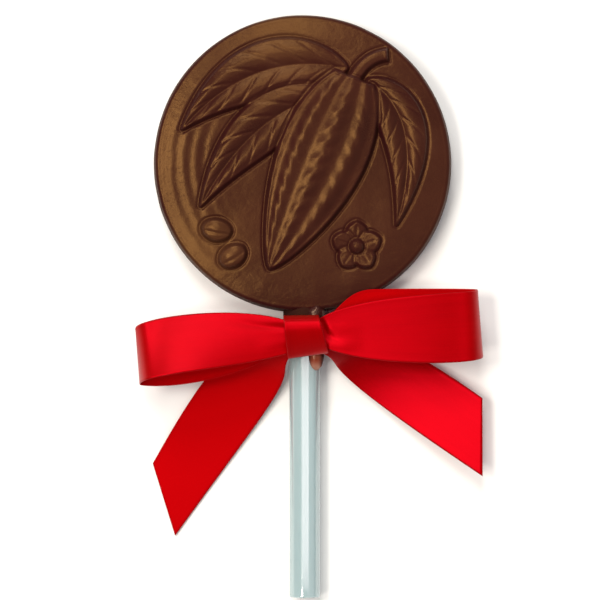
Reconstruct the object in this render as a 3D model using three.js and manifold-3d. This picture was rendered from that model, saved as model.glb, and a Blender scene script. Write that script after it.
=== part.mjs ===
// Moulded chocolate lollipop on a plastic stick, tied with a satin bow.
// It lies on its flat back. Millimetres, +Z up, the stick along -Y.
// The origin is the centre of the disc's back face.

import * as THREE from 'three';
import Module from 'manifold-3d';
import { LoftGeometry } from 'three/addons/geometries/LoftGeometry.js';
import { mergeVertices } from 'three/addons/utils/BufferGeometryUtils.js';

// Chocolate disc
const discRadius = 36;
const discHeight = 10.2;
const faceRadius = 34.2;
const faceFall = 1.1;
const faceCurve = 6;
const shoulderRadius = 35.5;
const shoulderHeight = 8.2;
const backChamfer = 0.9;
const discSegments = 112;
const clearance = 0.3;

// Stick
const stickRadius = 3.7;
const stickX = 0.55;
const stickZ = 4.9;
const stickEndY = -104.5;
const stickBuriedY = 9.5;
const stickChamfer = 0.25;

// Drip that leaves the disc beside the stick and runs down the stick's right side
const dripX = 3.1;
const dripZ = 7.2;
const dripStartY = -32;
const dripStartRadius = 1.4;
const dripFlareY = -33.8;
const dripRootRadius = 2.45;
const dripRootY = -35.4;
const dripRootEndY = -38.4;
const dripEndY = -49.9;
const dripBeadY = -46.4;
const dripBeadRadius = 2.15;
const dripNeckRadius = 1.4;
const dripTipRound = 0.2;
const dripTaper = 1.1;
const dripShoulder = 0.75;
const rimBead = { radius: 1, x: 3.4, y: -35.1, z: 8.7 };

// Short collar of chocolate round the stick where it leaves the disc
const collarX = 0.35;
const collarHalfWidth = 5;
const collarHalfHeight = 4.5;
const collarFromY = -33.5;
const collarEndY = -38.3;
const collarEndRound = 0.5;
const collarEndShare = 0.93;

// Raised design on the face: how far each kind of form stands above the field
const reliefFloor = 6.5;
const leafEdge = 0.7;
const leafCrown = 0.9;
const podEdge = 0.9;
const podCrown = 2.2;
const podRib = 0.3;
const podRibs = 5;
const beanEdge = 0.5;
const beanCrown = 1.4;
const petalEdge = 0.6;
const petalCrown = 0.6;
const petalLength = 5.4;
const petalHalfWidth = 2.3;
const petals = 5;
const petalStart = 0.6;
const stemCrown = 0.9;
const heartRadius = 1.9;
const heartRise = 0.3;
const tipHalfWidth = 0.22;

const podSpine = { from: [12.5, 20.5], bend: [3.5, -2], to: [-8, -25.5], halfWidth: 10.6 };
const stemSpine = { from: [11.6, 18.5], bend: [14.5, 25.5], to: [20.5, 26], halfWidth: 1.7 };
const leafSpines = [
  { from: [11, 22.5], bend: [-12, 28], to: [-29, 8], halfWidth: 6.9 },
  { from: [7, 17], bend: [-13, 12], to: [-24.5, -10.5], halfWidth: 6.1 },
  { from: [15.5, 20], bend: [30, 11], to: [22.5, -15], halfWidth: 5.4 },
];
const beanSpines = [
  { from: [-24.2, -16.2], bend: [-20.5, -15.4], to: [-17.2, -17.4], halfWidth: 2.6 },
  { from: [-19.4, -24.6], bend: [-17.0, -21.9], to: [-13.5, -21.0], halfWidth: 2.5 },
];
const flowerCentre = [13, -20];

// Satin ribbon, 16 mm wide. Each edge is a chain of cubic curves from the knot outwards.
const ribbonThickness = 0.5;
const leftLoop = {
  topEdge: [
    [-1.6, -38.6, 14.5], [-14, -33.2, 12.8], [-40, -37.2, 12.6], [-40, -39.6, 10.6],
    [-40, -39.9, 8.6], [-20, -34.5, 8], [-1.6, -39.3, 13.7],
  ],
  lowEdge: [
    [-1.6, -45, 13.9], [-12, -49.2, 15.4], [-38.9, -50.2, 25], [-38.9, -53.2, 12.2],
    [-38.9, -53.8, 8.8], [-20.5, -55.2, 7.2], [-1.6, -43.6, 13.2],
  ],
};
const rightLoop = {
  topEdge: [
    [1.6, -39.4, 14.5], [8.5, -30.8, 14.1], [41.9, -31.5, 17.8], [41.9, -30.4, 11.2],
    [41.9, -30.1, 8.2], [26, -30.1, 9], [17, -30.3, 9.9],
    [10, -30.5, 10.7], [9.5, -35.5, 12.9], [1.6, -40.2, 13.7],
  ],
  lowEdge: [
    [1.6, -42.2, 13.9], [10.8, -49.7, 14.2], [43.2, -48.4, 18.8], [43.2, -46.6, 11],
    [43.2, -45.6, 7], [30, -46.2, 7.6], [20, -46.6, 8.6],
    [13, -46.9, 9.4], [8.5, -44.8, 13.1], [1.6, -42.8, 13.1],
  ],
};
const leftTail = {
  topEdge: [
    [0.2, -39.8, 10.35], [-5, -39.2, 10.35], [-11, -40.5, 9.3], [-16, -44.5, 5],
    [-21.6, -48, 1.2], [-28.2, -58, 0.7], [-36.2, -72.4, 0.75],
  ],
  lowEdge: [
    [0.2, -45.3, 10.35], [-2.2, -45.4, 10.35], [-4, -46.5, 10], [-4.2, -50.2, 6.6],
    [-4.5, -55, 2.2], [-12.5, -64.5, 0.5], [-30.8, -89.9, 0.75],
  ],
};
const rightTail = {
  topEdge: [
    [0.8, -39.8, 10.35], [7, -39.2, 10.8], [13, -40, 6.1], [18, -42, 2],
    [23.5, -43.6, -0.9], [33.3, -49.3, 3.5], [43.3, -56.5, 6.3],
  ],
  lowEdge: [
    [0.8, -45.3, 10.35], [4, -45.3, 10.55], [6.2, -45.6, 10.1], [8, -48.5, 5.2],
    [11, -53.3, -1.6], [26, -63.7, 4.2], [43.3, -75.3, 7.6],
  ],
};

// Knot: a sleeve of ribbon round the middle of the bow. Its front leans back towards its low edge.
const knotY = -41.5;
const knotZ = 14.15;
const knotHalfHeight = 4.85;
const knotFrontDepth = 3.6;
const knotBackDepth = 3;
const knotSquareness = 2.35;
const knotLeftX = [-4.6, -3.5];
const knotRightX = [3.9, 6.2];
const knotTilt = 0.02;
const knotDroop = 0.125;
const knotLean = 0.42;

// Turn of ribbon that ties the knot to the stick, bulging over the drip
const turnRadius = 4.25;
const turnBulge = 1.6;
const turnBulgeAngle = 39;
const turnBulgeSpread = 32;
const turnTopY = -39.45;
const turnLowY = -45.2;

const wasm = await Module();
wasm.setup();

const chocolate = finish(0x50301f, 0.42);
const paleplastic = finish(0xb5c5c3, 0.3);
const redsatin = finish(0xd00a18, 0.45);

function finish(color, roughness) {
  return new THREE.MeshStandardMaterial({ color, roughness, metalness: 0 });
}

// Closed triangle mesh as a solid that can be joined and cut
function solidFrom(geometry) {
  const bare = new THREE.BufferGeometry();
  bare.setAttribute('position', geometry.attributes.position);
  bare.setIndex(geometry.index);
  const merged = mergeVertices(bare, 1e-4);
  const vertProperties = new Float32Array(merged.attributes.position.array);
  const triVerts = new Uint32Array(merged.index.array);
  return new wasm.Manifold(new wasm.Mesh({ numProp: 3, vertProperties, triVerts }));
}

function geometryFrom(solid) {
  const mesh = solid.getMesh();
  const geometry = new THREE.BufferGeometry();
  geometry.setAttribute('position', new THREE.BufferAttribute(mesh.vertProperties, 3));
  geometry.setIndex(new THREE.BufferAttribute(mesh.triVerts, 1));
  geometry.computeVertexNormals();
  return geometry;
}

// Six times the signed volume of an indexed mesh
function signedVolume(geometry) {
  const index = geometry.index.array;
  const corner = [new THREE.Vector3(), new THREE.Vector3(), new THREE.Vector3()];
  let total = 0;
  for (let i = 0; i < index.length; i += 3) {
    corner.forEach((point, k) => point.fromBufferAttribute(geometry.attributes.position, index[i + k]));
    total += corner[0].dot(corner[1].cross(corner[2]));
  }
  return total;
}

function facingOut(geometry) {
  if (signedVolume(geometry) < 0) {
    geometry.index.array.reverse();
  }
  return geometry;
}

// Loft through ring sections, with each end drawn together at its middle
function closedLoft(sections) {
  const middle = (section) => {
    const sum = section.reduce((total, point) => total.add(point), new THREE.Vector3());
    return section.map(() => sum.clone().divideScalar(section.length));
  };
  return facingOut(new LoftGeometry([middle(sections[0]), ...sections, middle(sections.at(-1))]));
}

// Face of the disc without the design: a low dome
function fieldHeight(x, y) {
  return discHeight - faceFall * (Math.hypot(x, y) / faceRadius) ** faceCurve;
}

function discBlank() {
  const profile = [
    new THREE.Vector2(0, 0),
    new THREE.Vector2(discRadius - backChamfer, 0),
    new THREE.Vector2(discRadius - 0.25 * backChamfer, 0.3 * backChamfer),
    new THREE.Vector2(discRadius, backChamfer),
    new THREE.Vector2(shoulderRadius, shoulderHeight),
  ];
  const shoulderSteps = 5;
  const faceEdge = fieldHeight(faceRadius, 0);
  for (let i = 1; i <= shoulderSteps; i += 1) {
    const angle = (i / shoulderSteps) * Math.PI / 2;
    const radius = faceRadius + (shoulderRadius - faceRadius) * Math.cos(angle);
    profile.push(new THREE.Vector2(radius, shoulderHeight + (faceEdge - shoulderHeight) * Math.sin(angle)));
  }
  for (const share of [0.94, 0.86, 0.74, 0.5, 0]) {
    profile.push(new THREE.Vector2(share * faceRadius, fieldHeight(share * faceRadius, 0)));
  }
  return new THREE.LatheGeometry(profile, discSegments).rotateX(Math.PI / 2);
}

function spineCurve({ from, bend, to }) {
  return new THREE.QuadraticBezierCurve(
    new THREE.Vector2(...from), new THREE.Vector2(...bend), new THREE.Vector2(...to),
  );
}

// A form that follows a spine over the face. width(t) and rise(t, s) give its half width and its
// height above the field, with t along the spine and s from -1 to 1 across it.
function mound(spine, width, rise, stepsAlong, stepsAcross) {
  const curve = spineCurve(spine);
  const sections = [];
  for (let i = 0; i <= stepsAlong; i += 1) {
    const t = i / stepsAlong;
    const centre = curve.getPoint(t);
    const heading = curve.getTangent(t);
    const half = tipHalfWidth + spine.halfWidth * width(t);
    const section = [];
    for (let j = 0; j <= stepsAcross; j += 1) {
      const s = -1 + 2 * j / stepsAcross;
      const x = centre.x - heading.y * half * s;
      const y = centre.y + heading.x * half * s;
      section.push(new THREE.Vector3(x, y, fieldHeight(x, y) + rise(t, s)));
    }
    for (const end of [section[stepsAcross], section[0]]) {
      section.push(new THREE.Vector3(end.x, end.y, reliefFloor));
    }
    sections.push(section);
  }
  return closedLoft(sections);
}

// Outline that opens quickly from the start and runs out to a point
function leafOutline(t) {
  return Math.sin(Math.PI * t ** 0.8) ** 0.9;
}

function podOutline(t) {
  return Math.sin(Math.PI * Math.min(1, 0.06 + 0.94 * t) ** 0.78) ** 0.72;
}

function ovalOutline(t) {
  return Math.sqrt(Math.max(0, 1 - (2 * t - 1) ** 2));
}

// Two cushioned halves with the midrib in the valley between them
function leafRise(t, s) {
  const cushion = 1 - (2 * Math.abs(s) - 1) ** 2;
  return leafEdge + leafCrown * cushion * ovalOutline(t);
}

// Rounded body with ribs that run from end to end
function podRise(t, s) {
  const round = Math.sqrt(Math.max(0, 1 - s * s));
  const rib = Math.cos(2 * podRibs * Math.asin(s));
  const body = podOutline(t);
  return podEdge + podCrown * round * body + podRib * rib * round * body;
}

function beanRise(t, s) {
  return beanEdge + beanCrown * Math.sqrt(Math.max(0, 1 - s * s)) * ovalOutline(t);
}

function petalRise(t, s) {
  return petalEdge + petalCrown * (1 - s * s) * t;
}

function stemRise(t, s) {
  return leafEdge + stemCrown * Math.sqrt(Math.max(0, 1 - s * s));
}

function petalSpine(number) {
  const angle = Math.PI / 2 + (number / petals) * 2 * Math.PI;
  const at = (distance) => [
    flowerCentre[0] + distance * Math.cos(angle),
    flowerCentre[1] + distance * Math.sin(angle),
  ];
  const end = petalStart + petalLength;
  return { from: at(petalStart), bend: at(end / 2), to: at(end), halfWidth: petalHalfWidth };
}

function flowerHeart() {
  const [x, y] = flowerCentre;
  const bead = new THREE.SphereGeometry(heartRadius, 20, 12);
  return bead.translate(x, y, fieldHeight(x, y) + heartRise);
}

function raisedForms() {
  const forms = [mound(podSpine, podOutline, podRise, 26, 20)];
  forms.push(mound(stemSpine, () => 0.8, stemRise, 6, 6));
  for (const spine of leafSpines) {
    forms.push(mound(spine, leafOutline, leafRise, 22, 8));
  }
  for (const spine of beanSpines) {
    forms.push(mound(spine, ovalOutline, beanRise, 10, 8));
  }
  for (let i = 0; i < petals; i += 1) {
    forms.push(mound(petalSpine(i), (t) => leafOutline(1 - t), petalRise, 8, 4));
  }
  forms.push(flowerHeart());
  return forms;
}

// Drip with a thin neck under the knot and a bead that tapers to a tip below it
function drip() {
  const profile = [
    new THREE.Vector2(0, dripEndY),
    new THREE.Vector2(0.35 * dripBeadRadius, dripEndY + dripTipRound),
    new THREE.Vector2(0.72 * dripBeadRadius, dripEndY + dripTaper),
    new THREE.Vector2(dripBeadRadius, dripBeadY + dripTipRound),
    new THREE.Vector2(0.94 * dripBeadRadius, dripBeadY + dripShoulder),
    new THREE.Vector2(dripNeckRadius, dripBeadY + 2 * dripShoulder),
    new THREE.Vector2(dripNeckRadius, dripRootEndY - dripShoulder),
    new THREE.Vector2(0.9 * dripRootRadius, dripRootEndY),
    new THREE.Vector2(dripRootRadius, dripRootEndY + 2 * dripShoulder),
    new THREE.Vector2(dripRootRadius, dripRootY),
    new THREE.Vector2(dripStartRadius, dripFlareY),
    new THREE.Vector2(dripStartRadius, dripStartY),
    new THREE.Vector2(0, dripStartY),
  ];
  return facingOut(new THREE.LatheGeometry(profile, 20).translate(dripX, 0, dripZ));
}

// Small bead of chocolate on the rim above the drip
function beadOnRim() {
  const { radius, x, y, z } = rimBead;
  return new THREE.SphereGeometry(radius, 14, 8).translate(x, y, z);
}

function collarRoundStick() {
  const profile = [
    new THREE.Vector2(0, collarEndY),
    new THREE.Vector2(collarEndShare, collarEndY),
    new THREE.Vector2(1, collarEndY + collarEndRound),
    new THREE.Vector2(1, collarFromY),
    new THREE.Vector2(0, collarFromY),
  ];
  const round = new THREE.LatheGeometry(profile, 32).scale(collarHalfWidth, 1, collarHalfHeight);
  return facingOut(round.translate(collarX, 0, stickZ));
}

function stickGeometry(grow) {
  const radius = stickRadius + grow;
  const low = stickEndY - grow;
  const high = stickBuriedY + grow;
  const profile = [
    new THREE.Vector2(0, low),
    new THREE.Vector2(radius - stickChamfer, low),
    new THREE.Vector2(radius, low + stickChamfer),
    new THREE.Vector2(radius, high - stickChamfer),
    new THREE.Vector2(radius - stickChamfer, high),
    new THREE.Vector2(0, high),
  ];
  return facingOut(new THREE.LatheGeometry(profile, 48).translate(stickX, 0, stickZ));
}

function chocolateGeometry() {
  let solid = solidFrom(facingOut(discBlank()));
  for (const form of [collarRoundStick(), drip(), beadOnRim(), ...raisedForms()]) {
    solid = solid.add(solidFrom(form));
  }
  return geometryFrom(solid.subtract(solidFrom(stickGeometry(clearance))));
}

// Point at u, from 0 to 1, on a chain of cubic curves that share their end points
function chainPoint(points, u) {
  const pieces = (points.length - 1) / 3;
  const piece = Math.min(pieces - 1, Math.floor(u * pieces));
  const controls = points.slice(3 * piece, 3 * piece + 4).map((p) => new THREE.Vector3(...p));
  return new THREE.CubicBezierCurve3(...controls).getPoint(u * pieces - piece);
}

function betweenEdges({ topEdge, lowEdge }) {
  return (u, v) => chainPoint(topEdge, u).lerp(chainPoint(lowEdge, u), v);
}

// Strip of even thickness round a surface(u, v), with u along it and v across it.
// A strip that comes back to its start needs no caps.
function strip(surface, stepsLong, stepsAcross, comesRound = false) {
  const nudge = 1e-3;
  const sections = [];
  for (let i = 0; i <= stepsLong; i += 1) {
    const u = comesRound ? (i % stepsLong) / stepsLong : i / stepsLong;
    const front = [];
    const back = [];
    for (let j = 0; j <= stepsAcross; j += 1) {
      const v = j / stepsAcross;
      const behind = comesRound ? u - nudge : Math.max(0, u - nudge);
      const ahead = comesRound ? u + nudge : Math.min(1, u + nudge);
      const along = surface(ahead, v).sub(surface(behind, v));
      const across = surface(u, Math.min(1, v + nudge)).sub(surface(u, Math.max(0, v - nudge)));
      const normal = along.cross(across).setLength(ribbonThickness / 2);
      front.push(surface(u, v).add(normal));
      back.unshift(surface(u, v).sub(normal));
    }
    sections.push([...front, ...back]);
  }
  return comesRound ? facingOut(new LoftGeometry(sections)) : closedLoft(sections);
}

// Squared oval in the YZ plane, with slanted left and right edges
function knotSurface(u, v) {
  const angle = 2 * Math.PI * u;
  const power = 2 / knotSquareness;
  const high = Math.sign(Math.cos(angle)) * Math.abs(Math.cos(angle)) ** power;
  const deep = Math.sign(Math.sin(angle)) * Math.abs(Math.sin(angle)) ** power;
  const lower = (1 - high) / 2;
  const left = THREE.MathUtils.lerp(...knotLeftX, lower);
  const right = THREE.MathUtils.lerp(...knotRightX, lower);
  const x = THREE.MathUtils.lerp(left, right, v);
  const y = knotY + knotHalfHeight * high + x * (knotTilt + knotDroop * lower);
  const lean = knotLean * (y - knotY) * Math.max(0, deep);
  const depth = deep > 0 ? knotFrontDepth : knotBackDepth;
  return new THREE.Vector3(x, y, knotZ + depth * deep + lean);
}

function turnSurface(u, v) {
  const angle = 2 * Math.PI * u;
  const fromBulge = THREE.MathUtils.euclideanModulo(360 * u - turnBulgeAngle + 180, 360) - 180;
  const radius = turnRadius + turnBulge * Math.exp(-((fromBulge / turnBulgeSpread) ** 2));
  return new THREE.Vector3(
    stickX + radius * Math.cos(angle),
    THREE.MathUtils.lerp(turnTopY, turnLowY, v),
    stickZ + radius * Math.sin(angle),
  );
}

function piece(name, geometry, material) {
  const mesh = new THREE.Mesh(geometry, material);
  mesh.name = name;
  return mesh;
}

function bow() {
  const group = new THREE.Group();
  group.add(
    piece('bow_loop_left', strip(betweenEdges(leftLoop), 40, 5), redsatin),
    piece('bow_loop_right', strip(betweenEdges(rightLoop), 42, 5), redsatin),
    piece('bow_tail_left', strip(betweenEdges(leftTail), 16, 4), redsatin),
    piece('bow_tail_right', strip(betweenEdges(rightTail), 16, 4), redsatin),
    piece('bow_knot', strip(knotSurface, 36, 4, true), redsatin),
    piece('bow_turn', strip(turnSurface, 36, 2, true), redsatin),
  );
  return group;
}

const lollipop = new THREE.Group();
lollipop.add(piece('chocolate', chocolateGeometry(), chocolate));
lollipop.add(piece('stick', stickGeometry(0), paleplastic));
lollipop.add(bow());

export default lollipop;
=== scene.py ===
import math
import bpy
import numpy as np
from mathutils import Matrix, Vector


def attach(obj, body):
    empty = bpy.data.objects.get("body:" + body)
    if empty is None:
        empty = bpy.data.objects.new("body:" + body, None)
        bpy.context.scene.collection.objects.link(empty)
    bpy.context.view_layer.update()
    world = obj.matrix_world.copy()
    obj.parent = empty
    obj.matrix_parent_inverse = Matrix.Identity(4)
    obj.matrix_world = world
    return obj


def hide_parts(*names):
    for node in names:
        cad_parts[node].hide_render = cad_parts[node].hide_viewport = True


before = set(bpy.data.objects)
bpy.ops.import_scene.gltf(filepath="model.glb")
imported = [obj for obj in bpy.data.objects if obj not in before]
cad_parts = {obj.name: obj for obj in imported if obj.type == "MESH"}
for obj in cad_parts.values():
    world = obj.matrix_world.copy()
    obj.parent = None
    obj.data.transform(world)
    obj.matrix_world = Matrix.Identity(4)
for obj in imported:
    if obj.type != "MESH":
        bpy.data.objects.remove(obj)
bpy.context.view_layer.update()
mm = 0.001  # every shape below is made in millimetres and scaled by this when it becomes a mesh
print("frame loaded")


def newObject(name, data):
    thing = bpy.data.objects.new(name, data)
    bpy.context.scene.collection.objects.link(thing)
    return thing


# Camera, light and floor

# millimetres: the point under the camera, its height, and the width that it sees at focusHeight
view = {"centre": (-0.6, -32.9), "height": 1200.0, "focusHeight": 5.0, "across": 144.6,
        "sensor": 36, "farthest": 20000}

studio = {
    "ambient": 0.32,
    "ambientColour": (1.0, 1.0, 1.0),
    "floorColour": (0.93, 0.93, 0.925),
    "floorRoughness": 0.9,
    "floorSize": 6.0,      # metres
    "floorZ": -0.0001,     # just under the disc's flat back
}

warmWhite = (1.0, 0.94, 0.84)

# from: where the lamp's middle is; at: what it points to; size in metres; power in watts
lamps = {
    "key": {"from": (-0.56, 0.12, 1.25), "at": (0, -0.01, 0), "size": (0.38, 0.31), "power": 7.9,
            "colour": warmWhite},
    "low": {"from": (-0.45, -0.31, 1.25), "at": (0, -0.01, 0), "size": (0.26, 0.22), "power": 4.4,
            "colour": warmWhite},
    "over": {"from": (-0.06, 0.52, 1.25), "at": (0, -0.01, 0), "size": (0.34, 0.38), "power": 4.5,
             "colour": warmWhite},
    "top": {"from": (-0.25, 1.0, 1.0), "at": (0, -0.03, 0), "size": (0.6, 0.5), "power": 9.0,
            "colour": (1.0, 0.98, 0.96)},
    "fill": {"from": (0.95, -0.1, 0.95), "at": (0, -0.04, 0), "size": (1.5, 1.5), "power": 2.2,
             "colour": (0.97, 0.98, 1.0)},
}

# A row of lamps over the stick, which it reflects as one line that is soft on the left. The line
# ends at endY on the stick: each lamp reaches as far down as the camera needs for that. Metres.
strip = {"height": 1.4, "endY": -0.1014, "highY": -0.060,
         "edges": (-0.70, -0.56, -0.42, -0.12, 0.18, 0.48, 0.78),
         "shares": (0.35, 0.7, 1.0, 1.0, 1.0, 1.0), "radiance": 2.3, "colour": (1.0, 0.88, 0.89)}


def makeCamera(s):
    data = bpy.data.cameras.new("camera")
    data.sensor_width = s["sensor"]
    data.lens = s["sensor"] * (s["height"] - s["focusHeight"]) / s["across"]
    data.clip_end = s["farthest"] * mm
    camera = newObject("camera", data)
    camera.location = (s["centre"][0] * mm, s["centre"][1] * mm, s["height"] * mm)
    bpy.context.scene.camera = camera


def addLamp(name, s):
    data = bpy.data.lights.new(name, "AREA")
    data.shape = "RECTANGLE"
    data.size, data.size_y = s["size"]
    data.energy = s["power"]
    data.color = s["colour"]
    lamp = newObject(name, data)
    lamp.location = s["from"]
    # its width stays parallel to X
    back = (Vector(s["from"]) - Vector(s["at"])).normalized()
    wide = (Vector((1, 0, 0)) - back.x * back).normalized()
    lamp.rotation_euler = Matrix((wide, back.cross(wide), back)).transposed().to_euler()


def addStripLamps(s):
    cameraY, cameraHeight = view["centre"][1] * mm, view["height"] * mm
    for i, share in enumerate(s["shares"]):
        left, right = s["edges"][i], s["edges"][i + 1]
        x = (left + right) / 2
        lowY = s["endY"] + (s["endY"] - cameraY) * math.hypot(x, s["height"]) / cameraHeight
        y = (s["highY"] + lowY) / 2
        width, depth = right - left, s["highY"] - lowY
        addLamp(f"strip{i}", {
            "from": (x, y, s["height"]), "at": (x, y, 0), "size": (width, depth),
            "power": s["radiance"] * share * width * depth * math.pi, "colour": s["colour"],
        })


def setTheStage(s):
    scene = bpy.context.scene
    scene.view_settings.view_transform = "Standard"
    world = bpy.data.worlds.new("studio")
    world.use_nodes = True
    sky = world.node_tree.nodes["Background"]
    sky.inputs["Color"].default_value = (*s["ambientColour"], 1)
    sky.inputs["Strength"].default_value = s["ambient"]
    scene.world = world
    half, z = s["floorSize"] / 2, s["floorZ"]
    corners = [(-half, -half, z), (half, -half, z), (half, half, z), (-half, half, z)]
    mesh = bpy.data.meshes.new("floor")
    mesh.from_pydata(corners, [], [(0, 1, 2, 3)])
    floor = newObject("floor", mesh)
    paper = bpy.data.materials.new("floorPaper")
    paper.use_nodes = True
    shader = paper.node_tree.nodes["Principled BSDF"]
    shader.inputs["Base Color"].default_value = (*s["floorColour"], 1)
    shader.inputs["Roughness"].default_value = s["floorRoughness"]
    shader.inputs["Specular IOR Level"].default_value = 0.0
    mesh.materials.append(paper)


makeCamera(view)
setTheStage(studio)
for lampName, lampSettings in lamps.items():
    addLamp(lampName, lampSettings)
addStripLamps(strip)
print("camera, light and floor ready")


# Small helpers for meshes and node materials

def smoothStep(low, high, value):
    t = np.clip((value - low) / (high - low), 0, 1)
    return t * t * (3 - 2 * t)


# A piece of the lollipop from points in millimetres, with its material, slot and body
def meshObject(name, points, faces, material, uvs=None):
    mesh = bpy.data.meshes.new(name)
    points = np.asarray(points, dtype=np.float64) * mm
    mesh.from_pydata(points.tolist(), [], faces)
    mesh.polygons.foreach_set("use_smooth", [True] * len(mesh.polygons))
    if uvs is not None:
        layer = mesh.uv_layers.new(name="ribbon")
        loopVertex = np.empty(len(mesh.loops), dtype=np.int64)
        mesh.loops.foreach_get("vertex_index", loopVertex)
        layer.data.foreach_set("uv", np.asarray(uvs)[loopVertex].ravel())
    mesh.update()
    mesh.materials.append(material)
    thing = newObject(name, mesh)
    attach(thing, "root")
    return thing


# Short way to write a node material: feed links a socket or sets its value, add gives a new node,
# finished sets the shader's own sockets, and the rest give a new node's output
class Nodes:
    def __init__(self, name):
        self.material = bpy.data.materials.new(name)
        self.material.use_nodes = True
        self.tree = self.material.node_tree
        self.shader = self.tree.nodes["Principled BSDF"]

    def add(self, kind, **inputs):
        node = self.tree.nodes.new(kind)
        for socket, value in inputs.items():
            self.feed(node, socket, value)
        return node

    def feed(self, node, socket, value):
        if isinstance(value, bpy.types.NodeSocket):
            self.tree.links.new(value, node.inputs[socket])
        else:
            node.inputs[socket].default_value = value

    def math(self, operation, first, second=0.0, clamp=False):
        node = self.tree.nodes.new("ShaderNodeMath")
        node.operation = operation
        node.use_clamp = clamp
        self.feed(node, 0, first)
        self.feed(node, 1, second)
        return node.outputs[0]

    def weighted(self, first, firstShare, second, secondShare, clamp=False):
        return self.math("ADD", self.math("MULTIPLY", first, firstShare),
                         self.math("MULTIPLY", second, secondShare), clamp)

    def ramp(self, value, low, high):
        node = self.tree.nodes.new("ShaderNodeMapRange")
        node.interpolation_type = "SMOOTHSTEP"
        self.feed(node, "Value", value)
        node.inputs["From Min"].default_value = low
        node.inputs["From Max"].default_value = high
        return node.outputs["Result"]

    def mix(self, share, first, second):
        node = self.tree.nodes.new("ShaderNodeMix")
        node.data_type = "RGBA"
        self.feed(node, 0, share)
        for socket, value in ((6, first), (7, second)):  # the two colours of the mix
            if isinstance(value, tuple):
                value = (*value, 1)
            self.feed(node, socket, value)
        return node.outputs[2]

    def noise(self, place, s):
        if "stretch" in s:
            mapping = self.add("ShaderNodeMapping", Vector=place, Scale=s["stretch"],
                               Rotation=s.get("turn", (0, 0, 0)))
            place = mapping.outputs["Vector"]
        scale, detail, roughness = s["noise"]
        node = self.add("ShaderNodeTexNoise", Vector=place, Scale=scale, Detail=detail,
                        Roughness=roughness)
        return node.outputs["Fac"]

    def bump(self, height, distance, normal=None):
        node = self.add("ShaderNodeBump", Height=height, Distance=distance, Strength=1.0)
        if normal is not None:
            self.feed(node, "Normal", normal)
        return node.outputs["Normal"]

    def finished(self, settings):
        for socket, value in settings.items():
            self.feed(self.shader, socket, value)
        return self.material


# Chocolate

# noise: scale per metre, detail and roughness; stretch and turn: how its pattern is drawn out;
# between: where it starts and where it is full; share: how much it counts; bump: metres
chocolateLook = {
    "deep": (0.0255, 0.0044, 0.0050),
    "warm": (0.0360, 0.0072, 0.0064),
    "bloom": (0.0850, 0.0330, 0.0210),
    # painted highlight: a yellowish glare painted into the colour on the face's left and top, where lamps
    # reflect
    "paintedGlare": (0.115, 0.050, 0.015),
    "paintedGlareSpots": (((-0.0235, -0.0210), 0.0150, 0.26), ((-0.0045, 0.0335), 0.0130, 0.22)),
    "paintedGlareCore": 0.2, "paintedGlareCloud": (0.0, 0.55),
    "paintedHighlight": None,  # the drip alone has a painted highlight, a paler middle
    "roughness": (0.25, 0.35), "sideRoughness": 0.75, "sideFacing": (0.6, 0.2),
    "specular": 0.31,
    "specularTint": (1.0, 0.53, 0.17),
    "broad": {"noise": (38.0, 3.0, 0.55), "between": (0.32, 0.68), "share": 0.6},
    "cloud": {"noise": (140.0, 4.0, 0.6), "between": (0.35, 0.7), "share": 0.4, "bump": 0.00022},
    "grain": {"noise": (2600.0, 3.0, 0.65), "share": 0.4, "bump": 0.00002},
    "scuffs": {"noise": (14.0, 2.0, 0.6), "between": (0.66, 0.74), "share": 0.16,
               "stretch": (30.0, 420.0, 200.0), "turn": (0, 0, 0.9), "depth": 0.4},
    "smudges": {"noise": (75.0, 2.0, 0.5), "between": (0.60, 0.78), "share": 0.10},
    "pits": {"scale": 900.0, "between": (0.10, 0.02), "bump": 0.00003},
}


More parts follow.
